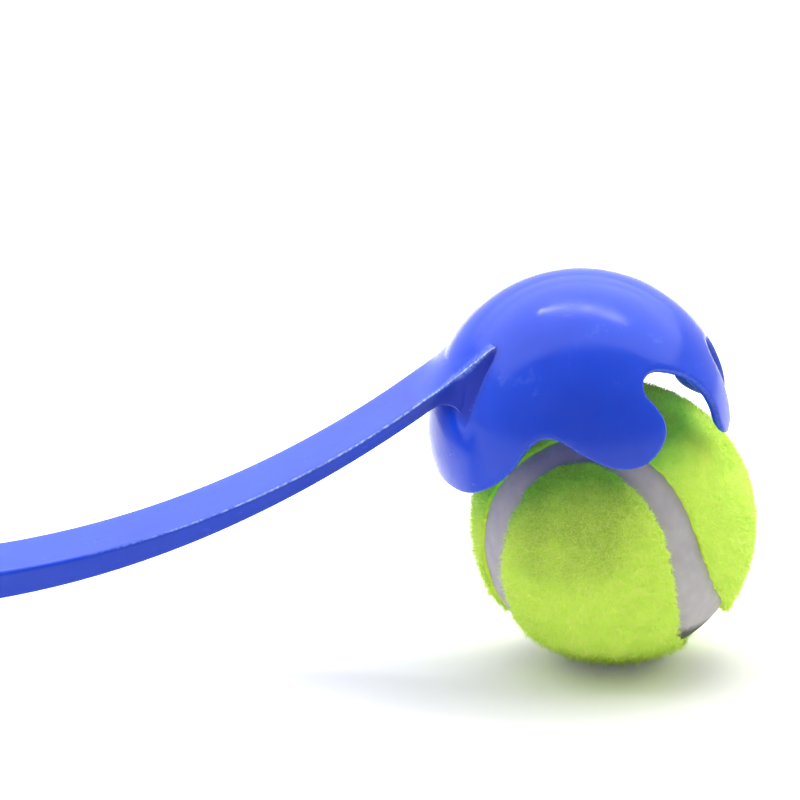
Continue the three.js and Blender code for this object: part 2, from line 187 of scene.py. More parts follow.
def offPlane(places):
    scale = 2 * cup["inner"]
    square = (places ** 2).sum(axis=1) / scale ** 2
    c = (1 - square) / (1 + square)
    side = places / scale * (1 + c)[:, None]
    return (side[:, :1] * mouthFront + side[:, 1:] * nearSide - c[:, None] * mouthAxis)


def cupInside(directions):
    points = directions * cup["inner"]
    depth = points @ mouthAxis
    radial = points - depth[:, None] * mouthAxis
    reach = np.linalg.norm(radial, axis=1)
    wider = np.where(depth > 0, np.maximum(1, cup["passRadius"] / np.maximum(reach, 1)), 1)
    return radial * wider[:, None] + depth[:, None] * mouthAxis


def creaseLines(key, side, count=40):
    # one of the two lines beside the arm's root on the flat map, at even shares of its run
    rows = np.array(cup[key])
    rows = np.stack([np.interp(np.linspace(0, len(rows) - 1, count), range(len(rows)), rows[:, k])
                     for k in range(3)], axis=1)
    return onPlane(unit(np.stack([rows[:, 0], -rows[:, 2] * side, rows[:, 1]], axis=1)))


def creaseDepth(places):
    # how far the wall is pressed in and how much shade is painted on it: a valley that is steep
    # towards the dome and shallow towards the edge of the arm
    depth, shade = np.zeros(len(places)), np.zeros(len(places))
    for side in (1, -1):
        line = creaseLines("crease", side)
        border = creaseLines("edge", side)
        away = np.linalg.norm(places[:, None] - line[None], axis=2)
        nearest = away.argmin(axis=1)
        gap = away.min(axis=1)
        across = border[nearest] - line[nearest]
        width = np.linalg.norm(across, axis=1) + 0.01
        inner = ((places - line[nearest]) * across).sum(axis=1) / width > 0
        share = nearest / (len(line) - 1)
        slope = np.where(inner, np.clip(1 - gap / width, 0, 1),
                         np.clip(1 - gap / cup["creaseWall"], 0, 1) ** cup["wallPower"])
        dark = np.where(inner, np.clip(2 - gap / width, 0, 1),
                        np.clip(1 - gap / cup["shadeWidth"], 0, 1) ** cup["wallPower"])
        strength = fadeInOut(share, *cup["creaseEnds"])
        depth = np.maximum(depth, cup["creaseDepth"] * strength * slope)
        shade = np.maximum(shade, dark * fadeInOut(share, *cup["shadeEnds"]))
    return depth, shade


def addValues(piece, name, values):
    layer = piece.data.attributes.new(name, "FLOAT", "POINT")
    layer.data.foreach_set("value", np.asarray(values, np.float32).reshape(-1))


def vertexPlaces(piece):
    places = np.empty(len(piece.data.vertices) * 3, np.float32)
    piece.data.vertices.foreach_get("co", places)
    return places.reshape(-1, 3) / mm


def insideOutline(places, outline):
    # which places lie inside the closed outline
    keep = np.zeros(len(places), bool)
    for (ax, ay), (bx, by) in zip(outline, np.roll(outline, -1, axis=0)):
        crosses = (ay > places[:, 1]) != (by > places[:, 1])
        with np.errstate(divide="ignore", invalid="ignore"):
            at = ax + (places[:, 1] - ay) * (bx - ax) / (by - ay)
        keep ^= crosses & (places[:, 0] < at)
    return keep


def finePlaces():
    # finer points around the two creases
    run = cup["fineRun"]
    lines = [(creaseLines("crease", side, run), creaseLines("edge", side, run))
             for side in (1, -1)]
    fine = [line + (border - line) * share for line, border in lines for share in cup["fineInner"]]
    for line, border in lines:
        # away from the edge, and at their common tip away from the middle of the crease
        outward = unit(line - border + 0.001 * (line - line.mean(axis=0)))
        fine += [line + outward * cup["creaseWall"] * share for share in cup["fineWall"]]
    kept = []
    for place in np.vstack(fine):
        if not kept or np.min(np.linalg.norm(np.array(kept) - place, axis=1)) > cup["fineGap"]:
            kept.append(place)
    return np.array(kept)


def sheetPlaces(outline):
    # points inside the outline on the flat map, in even triangles and finer at the creases
    step = cup["sheetStep"]
    columnReach = int((np.abs(outline).max() + step) / step) + 1
    rowReach = int(columnReach * 1.16)  # rows stand closer together than columns
    places = []
    for row in range(-rowReach, rowReach + 1):
        y = row * step * math.sqrt(3) / 2
        shift = step / 2 if row % 2 else 0
        places += [(column * step + shift, y) for column in range(-columnReach, columnReach + 1)]
    places = np.array(places)
    nearest = np.min(np.linalg.norm(places[:, None] - outline[None, ::2], axis=2), axis=1)
    clear = nearest > step * cup["edgeClearance"]
    places = places[insideOutline(places, outline) & clear]
    fine = finePlaces()
    apart = np.min(np.linalg.norm(places[:, None] - fine[None], axis=2), axis=1)
    return np.vstack([places[apart > cup["fineClearance"]], fine])


def makeCup():
    controls = [cupDirection(azimuth, dip) for azimuth, dip in cup["rim"]]
    rim = unit(closedSpline(controls, cup["rimSteps"]))
    along = np.roll(rim, -1, axis=0) - np.roll(rim, 1, axis=0)
    inward = unit(np.cross(along, rim))
    outer = cup["inner"] + cup["wall"]
    back = cup["rimBack"] / outer
    edge = rim * math.cos(back) + inward * math.sin(back)
    outline = onPlane(edge)
    places = [Vector(p) for p in np.vstack([outline, sheetPlaces(outline)])]
    edges = [(i, (i + 1) % len(outline)) for i in range(len(outline))]
    madePlaces, _, madeFaces, sources, _, _ = delaunay_2d_cdt(places, edges, [], 1, mergeDistance)
    assert len(madePlaces) == len(places)
    directions = unit(offPlane(np.array([tuple(p) for p in madePlaces])))
    order = np.array([source[0] for source in sources])

    sheet = len(directions)
    pressed, shade = creaseDepth(onPlane(directions))
    points = [directions * (outer - pressed)[:, None], cupInside(directions)]
    faces = [tuple(f) for f in madeFaces]
    faces += [tuple(i + sheet for i in reversed(f)) for f in madeFaces]
    rings = [np.argsort(order)[:len(rim)]]
    start = 2 * sheet
    # the rounded rim from the outer sheet to the inner one
    for row in range(1, cup["rimRows"]):
        turn = math.pi * row / cup["rimRows"]
        outward = (1 + math.cos(turn)) / 2
        onward = math.sin(turn)
        direction = unit(edge * (1 - onward) + rim * onward)
        points.append(cupInside(direction) * (1 - outward) + direction * outer * outward)
        rings.append(np.arange(start, start + len(rim)))
        start += len(rim)
    rings.append(rings[0] + sheet)
    for one, two in zip(rings, rings[1:]):
        for i in range(len(rim)):
            j = (i + 1) % len(rim)
            faces.append((one[i], one[j], two[j], two[i]))
    piece = meshPiece("launcher_cup", np.vstack(points) + cupCentre, faces)
    paintedNookShade, paintedHighlight = np.zeros(start), np.zeros(start)
    # painted shade along the crease beside the arm's root
    paintedNookShade[:sheet] = shade
    # painted highlight along the rounded rim
    paintedHighlight[2 * sheet:2 * sheet + 3 * len(rim)] = cup["rimHighlight"]
    addValues(piece, "paintedNookShade", paintedNookShade)
    addValues(piece, "paintedHighlight", paintedHighlight)
    cleanUp()
    bpy.ops.object.shade_smooth()
    return piece


# the arm: rails of its root from the centre of the cup, then its top line to the grip
arm = {
    "neckReach": 38.6, "neckRise": 7.2, "neckSlope": 34.94, "bendRadius": 207.3,
    "straightSlope": 2, "straightLength": 142, "thickness": 6.8, "neckThickness": 2.9,
    "halfWidth": 10.4, "neckHalfWidth": 11.9, "thickeningRun": 125, "edgeRadius": 0.5,
    "farEdgeRadius": 1.1, "rootEdgeRadius": 0.35,
    "gripLength": 122, "gripHalfWidth": 14, "gripBlend": 26, "gripSwell": 3.2,
    "gripEdgeRadius": 5, "gripClearance": 2.6, "fingerGrooves": 4, "grooveDepth": 2.8,
    "heelLength": 34, "heelFlatShare": 0.75, "heelHalfWidth": 11.5, "heelEdgeRadius": 2.4,
    "buttRound": 5, "buttEase": 0.9, "hangHoleRadius": 4.2, "hangHoleInset": 13.5,
    "smoothAngle": 32,
    # how many rings each stretch has, and how many of them have a painted highlight on the edge
    "rings": (60, 12, 90, 24, 14), "rootRings": 41, "highlightRings": 90, "edgeVertex": 16,
    "highlightWidth": 0.32, "highlightStart": 18, "highlightLoss": 0.2, "highlightFade": (22, 55), "highlightEnd": (58, 100),
    # painted shade on the root's flanks: below the edge, near the dome, and along the root
    "shadeBelow": (0.25, 1.3), "shadeReach": 7, "shadeRun": (-48, -34), "paintedShade": 0.29,
    "creaseShade": 0.85,
    # x, then height and half width of the edge, the crease and the lower edge, then the crown
    "root": [
        (-36.2, 8.9, 11.8, 7.1, 11.8, 5.3, 11.8, 8.9),
        (-34.0, 10.4, 11.9, 8.7, 12.0, 7.0, 12.2, 10.8),
        (-31.7, 12.1, 12.1, 10.0, 12.6, 8.1, 13.2, 13.3),
        (-29.4, 14.0, 12.3, 10.6, 13.8, 7.9, 15.2, 16.5),
        (-28.0, 15.3, 12.9, 9.4, 15.9, 6.2, 16.9, 18.7),
        (-26.9, 16.5, 13.6, 8.4, 17.0, 2.4, 16.9, 20.1),
        (-25.0, 18.3, 14.6, 12.1, 17.2, 5.0, 17.2, 22.4),
        (-22.5, 20.7, 15.5, 17.0, 15.9, 12.0, 16.2, 24.9),
        (-20.4, 22.12, 15.62, 19.8, 14.9, 17.0, 13.9, 26.5),
        (-19.2, 22.6, 15.2, 20.6, 14.2, 17.6, 13.2, 27.2),
    ],
}
bendSweep = math.radians(arm["neckSlope"] - arm["straightSlope"])
bendRun = arm["bendRadius"] * bendSweep
gripStart = bendRun + arm["straightLength"]
gripEnd = gripStart + arm["gripLength"]


def topLine(run):
    first = math.radians(arm["neckSlope"])
    slope = first - min(run, bendRun) / arm["bendRadius"]
    straight = max(run - bendRun, 0)
    x = (cupCentre[0] - arm["neckReach"] - arm["bendRadius"] * (math.sin(first) - math.sin(slope))
         - straight * math.cos(slope))
    z = (cupCentre[2] + arm["neckRise"] - arm["bendRadius"] * (math.cos(slope) - math.cos(first))
         - straight * math.sin(slope))
    return np.array([x, 0, z]), slope


def sectionRing(edge, crown, under, top, low, crease, radius, lowRadius):
    # one closed ring: near side up from below, across the top, far side down, across the bottom
    up = edge - under
    rise = np.linalg.norm(up)
    up = up / rise
    side = []
    lowReach = min(lowRadius, rise / 2)
    topReach = min(radius, rise / 2)

    def corner(width, level, reach, turn):
        for i in range(6):
            angle = (turn + i / 5) * math.pi / 2
            side.append((width - reach + reach * math.cos(angle), level + reach * math.sin(angle)))

    across, level = crease if crease else ((low + top) / 2, rise / 2)
    corner(low, lowReach, lowReach, -1)
    side += [(low + (across - low) * share, lowReach + (level - lowReach) * share)
             for share in (1 / 4, 2 / 4, 3 / 4, 1)]
    side += [(across + (top - across) * share, level + (rise - topReach - level) * share)
             for share in (1 / 5, 2 / 5, 3 / 5, 4 / 5)]
    corner(top, rise - topReach, topReach, 0)
    ring = [under + up * level + np.array([0, -width, 0]) for width, level in side]
    flat = top - topReach
    for share in np.arange(-7, 8) / 8:
        ring.append(edge + (crown - edge) * (1 - share * share) + np.array([0, flat * share, 0]))
    ring += [under + up * level + np.array([0, width, 0]) for width, level in reversed(side)]
    bottom = low - lowReach
    ring += [under + np.array([0, bottom * step / 6, 0]) for step in range(5, -6, -1)]
    return np.array(ring)


def armRing(run):
    point, slope = topLine(run)
    taper = smoothstep(run, 0, arm["thickeningRun"])
    blend = smoothstep(run, gripStart, gripStart + arm["gripBlend"])
    onGrip = min(max((run - gripStart) / (arm["gripLength"] - arm["heelLength"]), 0), 1)
    heel = smoothstep(run, gripEnd - arm["heelLength"],
                      gripEnd - arm["heelLength"] * arm["heelFlatShare"])
    butt = smoothstep(run, gripEnd - arm["buttRound"], gripEnd)
    normal = np.array([-math.sin(slope), 0, math.cos(slope)])
    edge = point + normal * arm["gripSwell"] * math.sin(math.pi * onGrip) ** 2
    thin = arm["neckThickness"] + (arm["thickness"] - arm["neckThickness"]) * taper
    under = point - normal * thin
    wave = (1 - math.cos(2 * math.pi * onGrip * arm["fingerGrooves"])) / 2
    sole = arm["gripClearance"] * (1 - onGrip) + arm["grooveDepth"] * wave * (1 - heel)
    under[2] += (sole * (1 - heel) - under[2]) * blend
    wide = arm["neckHalfWidth"] + (arm["halfWidth"] - arm["neckHalfWidth"]) * taper
    broad = wide + (arm["gripHalfWidth"] - wide) * blend
    broad += (arm["heelHalfWidth"] - broad) * heel
    broad -= arm["buttRound"] * (1 - math.sqrt(1 - (butt * arm["buttEase"]) ** 2))
    radius = arm["edgeRadius"] + (arm["farEdgeRadius"] - arm["edgeRadius"]) * taper
    radius += (arm["gripEdgeRadius"] - radius) * blend
    radius += (arm["heelEdgeRadius"] - radius) * heel
    return sectionRing(edge, edge, under, broad, broad, None, radius, radius)


def rootRings():
    # rings through the rows of the root, smooth from row to row
    rows = np.array(arm["root"])
    smooth = []
    for value in np.linspace(0, len(rows) - 1, arm["rootRings"]):
        i = min(int(value), len(rows) - 2)
        t = value - i
        p = [rows[max(i - 1, 0)], rows[i], rows[i + 1], rows[min(i + 2, len(rows) - 1)]]
        smooth.append(0.5 * (2 * p[1] + (p[2] - p[0]) * t
                             + (2 * p[0] - 5 * p[1] + 4 * p[2] - p[3]) * t ** 2
                             + (3 * p[1] - p[0] - 3 * p[2] + p[3]) * t ** 3))
    rings = []
    for x, edgeZ, top, creaseZ, creaseY, lowZ, low, crownZ in smooth:
        edge, crown, under = [cupCentre + np.array([x, 0, z]) for z in (edgeZ, crownZ, lowZ)]
        rings.append(sectionRing(edge, crown, under, top, low, (creaseY, creaseZ - lowZ),
                                 arm["rootEdgeRadius"], arm["edgeRadius"]))
    return rings[::-1]


def edgeHighlightShare(places, edges):
    # painted highlight: 1 on the rounded top edges by the cup, less along the arm, 0 off the edges
    paintedHighlight = np.zeros(len(places))
    for side in (1, -1):
        line = edges * np.array([1, side, 1])
        for start in range(0, len(places), 20000):  # in parts, to save memory
            part = slice(start, start + 20000)
            away = np.linalg.norm(places[part, None] - line[None], axis=2).min(axis=1)
            paintedHighlight[part] = np.maximum(paintedHighlight[part], 1 - away / arm["highlightWidth"])
    run = cupCentre[0] - arm["highlightStart"] - places[:, 0]
    loss = 1 - arm["highlightLoss"] * smoothstep(run, *arm["highlightFade"])
    return np.clip(paintedHighlight, 0, 1) * loss * (1 - smoothstep(run, *arm["highlightEnd"]))


def sideShade(places):
    # painted shade on the flanks of the arm's root, most of it where they meet the dome
    local = places - cupCentre
    rows = np.array(arm["root"])
    edgeHeight = np.interp(local[:, 0], rows[:, 0], rows[:, 1])
    below = smoothstep(edgeHeight - local[:, 2], *arm["shadeBelow"])
    away = np.linalg.norm(local, axis=1) - cup["inner"] - cup["wall"]
    near = 1 - np.clip(away / arm["shadeReach"], 0, 1)
    thin = arm["paintedShade"] * smoothstep(local[:, 0], *arm["shadeRun"])
    return below * np.clip(thin + arm["creaseShade"] * near, 0, 1)


def cutAway(piece, tool):
    deselectAll()
    bpy.context.view_layer.objects.active = piece
    piece.select_set(True)
    cut = piece.modifiers.new("cut", "BOOLEAN")
    cut.operation = "DIFFERENCE"
    cut.solver = "EXACT"
    cut.object = tool
    bpy.ops.object.modifier_apply(modifier=cut.name)
    bpy.data.objects.remove(tool)


def makeArm():
    rings = rootRings()
    stops = (0, bendRun, gripStart, gripEnd - arm["heelLength"], gripEnd - arm["buttRound"],
             gripEnd)
    for low, high, count in zip(stops, stops[1:], arm["rings"]):
        rings += [armRing(run) for run in np.linspace(low, high, count, endpoint=False)]
    rings.append(armRing(gripEnd))
    columns = len(rings[0])
    points = np.vstack(rings)
    faces = gridFaces(len(rings), columns)
    faces.append(tuple(range(columns)))
    faces.append(tuple(range((len(rings) - 1) * columns, len(rings) * columns)))
    piece = meshPiece("launcher_arm", points, faces)
    cleanUp()
    holePlace, _ = topLine(gripEnd - arm["hangHoleInset"])
    bpy.ops.mesh.primitive_cylinder_add(
        vertices=96, radius=arm["hangHoleRadius"] * mm, depth=60 * mm,
        location=(holePlace[0] * mm, 0, holePlace[2] / 2 * mm))
    cutAway(piece, bpy.context.active_object)
    # the arm ends inside the wall of the cup
    bpy.ops.mesh.primitive_uv_sphere_add(segments=128, ring_count=64, location=cupCentre * mm,
                                         radius=(cup["inner"] + cup["wall"] / 2) * mm)
    cutAway(piece, bpy.context.active_object)
    bpy.ops.object.shade_smooth_by_angle(angle=math.radians(arm["smoothAngle"]))
    # the middle of the rounded near top edge in every ring
    middle = slice(arm["edgeVertex"], arm["edgeVertex"] + 2)
    edges = np.array([ring[middle].mean(axis=0) for ring in rings[:arm["highlightRings"]]])
    fine = np.linspace(0, len(edges) - 1, 10 * len(edges))
    edges = np.stack([np.interp(fine, range(len(edges)), edges[:, k]) for k in range(3)], axis=1)
    # painted highlight along the rounded top edges
    addValues(piece, "paintedHighlight", edgeHighlightShare(vertexPlaces(piece), edges))
    # painted shade on the flanks of the root
    addValues(piece, "paintedNookShade", sideShade(vertexPlaces(piece)))
    return piece


cupPiece = makeCup()
print("cup", len(cupPiece.data.polygons))
armPiece = makeArm()
print("arm", len(armPiece.data.polygons))


# the ball: seam curve, felt panels and seam strip
def eulerTurn():
    x, y, z = (math.radians(a) for a in ball["seamTurn"])
    turnX = np.array([[1, 0, 0], [0, math.cos(x), -math.sin(x)], [0, math.sin(x), math.cos(x)]])
    turnY = np.array([[math.cos(y), 0, math.sin(y)], [0, 1, 0], [-math.sin(y), 0, math.cos(y)]])
    turnZ = np.array([[math.cos(z), -math.sin(z), 0], [math.sin(z), math.cos(z), 0], [0, 0, 1]])
    return turnZ @ turnY @ turnX


seamRotation = eulerTurn()
seamNudge = 0.004  # step along the seam that shows its way


def seamDirection(t):
    t = np.asarray(t, float)
    a, b = 1 - ball["seamShape"], ball["seamShape"]
    return unit(np.stack([a * np.cos(t) + b * np.cos(3 * t), a * np.sin(t) - b * np.sin(3 * t),
                          2 * math.sqrt(a * b) * np.sin(2 * t)], axis=-1))


def besideSeam(t, reach):
    t = np.asarray(t, float)
    reach = np.asarray(reach, float)[..., None]
    here = seamDirection(t)
    along = unit(seamDirection(t + seamNudge) - seamDirection(t - seamNudge))
    side = unit(np.cross(along, here))
    return unit(here * np.cos(reach) - side * np.sin(reach))


def onBall(directions, radius):
    # from the seam's own directions to places on the ball
    radius = np.asarray(radius, float)
    if radius.ndim:
        radius = radius[..., None]
    return (directions @ seamRotation.T) * radius + ballCentre


def bodyPiece(piece, body, node):
    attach(piece, body)
    if node:
        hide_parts(*node)


felt = {
    "rows": 260, "columns": 72, "rowCrowding": 0.06, "columnCrowding": 0.10,
    # noise scale and share of the ragged cut edge and of the lumps on the panels
    "ragged": 1.4, "raggedNoise": ((26, 0.22), (70, 0.16)),
    "lumps": 0.11, "lumpNoise": ((34, 0.5), (90, 0.35)), "sink": 0.12,
    "edgeRound": 0.75, "edgeDrop": 0.7, "smoothAngle": 50,
    # strands of each coat: how many, then their length, width and rise in millimetres
    "coats": [(62000, (0.7, 1.6), 0.12, (0.04, 0.20)), (62000, (0.7, 1.6), 0.11, (0.08, 0.52)),
              (38000, (1.0, 2.2), 0.07, (0.45, 1.60))],
    "rootDepth": 0.2, "sway": 0.35, "turn": 1.25, "risePower": 1.7, "tone": (0.56, 0.32),
    "edgeTrim": 1.8, "edgeLength": 0.45, "halo": 0.75, "openHalo": 0.85, "openSky": (0.2, 0.5),
    "seed": 41, "floorClearance": 0.05, "rootShade": 0.85,
    # the cup's painted shade on the felt: its map, then the front where less of it is painted
    "shelterRows": 45, "shelterColumns": 90, "skyRings": (0.22, 0.55, 0.9, 1.3),
    "lessShadedFront": (0.28, 0.62), "lessShadedShare": 0.75,
    # painted shade: darker, mottled felt on the middle of the front of the ball
    "paintedMidShade": (0.50, 0.60, 0.52), "midShadeWay": (-0.465, -0.799, 0.380), "midShadeRange": (0.74, 0.98),
    "midShadeShare": (0.72, 0.18),
    # painted light: a glow on the felt, weaker under the cup and near the floor
    "glow": (0.105, 0.108, 0.028), "glowShelter": (0.03, 0.5), "glowLoss": 0.5,
    "glowFoot": (2, 9),
}


def softNoise(directions, scale, seed):
    # smooth seeded noise from a few turned sine waves
    random = np.random.default_rng(seed)
    total = np.zeros(directions.shape[:-1])
    for _ in range(14):
        way = unit(random.normal(size=3))
        total += np.sin(directions @ way * scale * random.uniform(0.6, 1.5)
                        + random.uniform(0, 2 * math.pi))
    return total / 14 ** 0.5


def seamFlare(t):
    # what the flares add to the half width of the seam, in millimetres
    total = np.zeros(np.shape(t))
    for place, run, extra in ball["seamFlares"]:
        away = (np.asarray(t) - math.radians(place) + math.pi) % (2 * math.pi) - math.pi
        total += extra / 2 * (1 + np.cos(math.pi * np.minimum(np.abs(away) / math.radians(run), 1)))
    return total


def alongSeam(t):
    return np.stack([np.cos(t), np.sin(t), np.sin(2 * t)], axis=-1)


def feltReach(t):
    # half the gap between the panels, with a ragged cut edge
    (coarse, much), (fine, less) = felt["raggedNoise"]
    around = alongSeam(np.asarray(t, float))
    wobble = softNoise(around, coarse, 5) * much + softNoise(around, fine, 6) * less
    return (ball["seamWidth"] / 2 + ball["seamSideGap"] + wobble * felt["ragged"]) / ball["radius"]


def panelTurn(directions, second):
    if not second:
        return directions
    return np.stack([-directions[..., 1], directions[..., 0], -directions[..., 2]], axis=-1)


def slerp(a, b, share):
    # the way that lies a share of the turn from a to b
    cosine = np.clip((a * b).sum(axis=-1, keepdims=True), -1, 1)
    angle = np.arccos(cosine)
    small = angle < 1e-5
    safe = np.where(small, 1, np.sin(angle))
    mixed = (a * np.sin(angle * (1 - share)) + b * np.sin(angle * share)) / safe
    return unit(np.where(small, a, mixed))


def panelDirections(t, share, second):
    # a place on one panel: t runs along the seam, share from its edge to the edge opposite
    partner = 1.5 * math.pi - t
    shift = 2.0 if second else 0.0
    flares = [seamFlare(place + math.pi / 2) / ball["radius"] * second for place in (t, partner)]
    a = besideSeam(t, feltReach(t + shift) + flares[0])
    b = besideSeam(partner, feltReach(partner + shift) + flares[1])
    return panelTurn(slerp(a, b, share[..., None]), second)


def acrossFrom(up):
    # two ways at right angles to each upward way
    helper = unit(np.cross(up, np.array([0.31, 0.77, 0.55])))
    return helper, np.cross(up, helper)


def shelterMap():
    # share of the sky that the cup hides from the felt, on a map of the ball's directions
    rows, columns = felt["shelterRows"], felt["shelterColumns"]
    polar, turn = np.meshgrid(np.linspace(0, math.pi, rows),
                              np.linspace(-math.pi, math.pi, columns), indexing="ij")
    up = np.stack([np.sin(polar) * np.cos(turn), np.sin(polar) * np.sin(turn), np.cos(polar)],
                  axis=-1).reshape(-1, 3)
    helper, other = acrossFrom(up)
    rim = np.array(sorted(cup["rim"]))
    middle = cup["inner"] + cup["wall"] / 2
    start = up * ball["radius"] + ballCentre - cupCentre
    hidden = np.zeros(len(up))
    rays = 0
    for ring, lift in enumerate(felt["skyRings"]):
        count = 4 + 3 * ring
        for i in range(count):
            angle = 2 * math.pi * (i + ring / 2) / count
            way = (up * math.cos(lift) + helper * math.sin(lift) * math.cos(angle)
                   + other * math.sin(lift) * math.sin(angle))
            along = (start * way).sum(axis=1)
            square = along ** 2 - (start ** 2).sum(axis=1) + middle ** 2
            blocked = np.zeros(len(up), bool)
            for sign in (-1, 1):
                reach = -along + sign * np.sqrt(np.maximum(square, 0))
                hit = unit(start + way * reach[:, None])
                dip = np.degrees(np.arcsin(np.clip(hit @ mouthAxis, -1, 1)))
                azimuth = np.degrees(np.arctan2(hit @ nearSide, hit @ mouthFront))
                edge = np.interp(azimuth, rim[:, 0], rim[:, 1], period=360)
                blocked |= (square > 0) & (reach > 0.2) & (dip < edge)
            weight = math.cos(lift) * math.sin(lift)
            hidden += blocked * weight / count
            rays += weight / count
    return (hidden / rays).reshape(rows, columns)


cupShade = shelterMap()


def shelterAt(directions):
    rows, columns = cupShade.shape
    row = np.arccos(np.clip(directions[..., 2], -1, 1)) / math.pi * (rows - 1)
    column = (np.arctan2(directions[..., 1], directions[..., 0]) / math.pi + 1) / 2 * (columns - 1)
    r, c = np.minimum(row.astype(int), rows - 2), np.minimum(column.astype(int), columns - 2)
    a, b = row - r, column - c
    return ((cupShade[r, c] * (1 - b) + cupShade[r, c + 1] * b) * (1 - a)
            + (cupShade[r + 1, c] * (1 - b) + cupShade[r + 1, c + 1] * b) * a)


def shelterPiece(piece, share=1.0):
    # painted shade: felt that the cup shades is greener and the middle of the front is darker;
    # painted light: the felt glows where light reaches it
    places = vertexPlaces(piece)
    up = unit(places - ballCentre)
    # painted shade from the cup, less of it towards the front
    cover = shelterAt(up) * (1 - felt["lessShadedShare"] * smoothstep(up[:, 0], *felt["lessShadedFront"]))
    # painted shade on the middle of the front, mottled
    paintedMidShade = smoothstep(up @ unit(np.array(felt["midShadeWay"])), *felt["midShadeRange"])
    level, swing = felt["midShadeShare"]
    paintedMidShade = paintedMidShade * (level + swing * softNoise(up, 22, 27)) * share
    # painted light: the felt's glow, less where the cup shades it and near the floor
    lit = 1 - felt["glowLoss"] * smoothstep(cover, *felt["glowShelter"])
    addValues(piece, "cupShade", cover)
    addValues(piece, "paintedMidShade", np.clip(paintedMidShade, 0, 1))
    addValues(piece, "glow", lit * smoothstep(places[:, 2], *felt["glowFoot"]))


def makePanel(second):
    name = "felt_b" if second else "felt_a"
    rows, columns = felt["rows"], felt["columns"]
    # rows and columns crowd towards the rounded ends and the cut edges of the panel
    u = np.linspace(0, 1, rows + 1)[1:-1]
    t = 0.75 * math.pi + math.pi * (u - felt["rowCrowding"] * np.sin(2 * math.pi * u))
    v = np.linspace(0, 1, columns + 1)
    v = v - felt["columnCrowding"] * np.sin(2 * math.pi * v)
    tGrid, vGrid = np.meshgrid(t, v, indexing="ij")
    directions = panelDirections(tGrid, vGrid, second)
    flat = directions.reshape(-1, 3)
    (coarse, much), (fine, less) = felt["lumpNoise"]
    lumps = softNoise(flat, coarse, 11) * much + softNoise(flat, fine, 12) * less
    radius = ball["radius"] - felt["sink"] + lumps * felt["lumps"]
    # the cut edge is rounded down towards the seam
    turns = [np.arccos(np.clip((directions * edge).sum(-1), -1, 1))
             for edge in (directions[:, :1, :], directions[:, -1:, :])]
    nearEdge = np.minimum(*turns) * ball["radius"]
    drop = np.clip(1 - nearEdge.reshape(-1) / felt["edgeRound"], 0, 1)
    radius -= drop ** 2 * felt["edgeDrop"]
    top = onBall(flat, radius)
    bottom = onBall(flat, np.full(len(flat), ball["radius"] - ball["feltThickness"]))
    count = columns + 1
    ring = []
    for row in range(rows - 1):
        part = slice(row * count, (row + 1) * count)
        ring += [top[part], bottom[part][::-1]]
    points = np.vstack(ring)
    faces = gridFaces(rows - 1, 2 * count)
    for start in (0, (rows - 2) * 2 * count):
        faces += [(start + i, start + i + 1,
                   start + 2 * count - 2 - i, start + 2 * count - 1 - i) for i in range(count - 1)]
    piece = meshPiece(name, points, faces)
    cleanUp()
    bpy.ops.object.shade_smooth_by_angle(angle=math.radians(felt["smoothAngle"]))
    shelterPiece(piece)
    addValues(piece, "shade", np.full(len(piece.data.vertices), 0.5))
    return piece


def hairRoots(random, count):
    # even random places on a panel, and how wide the panel is there
    t = 0.75 * math.pi + math.pi * random.uniform(0.002, 0.998, count * 3)
    v = random.uniform(0, 1, count * 3)
    one, two = [besideSeam(place, np.full(len(t), 0.12)) for place in (t, 1.5 * math.pi - t)]
    width = np.arccos(np.clip((one * two).sum(-1), -1, 1))
    speed = np.linalg.norm(seamDirection(t + seamNudge) - seamDirection(t - seamNudge), axis=-1)
    weight = width * speed
    keep = random.uniform(0, weight.max(), len(t)) < weight
    return t[keep][:count], v[keep][:count], width[keep][:count]


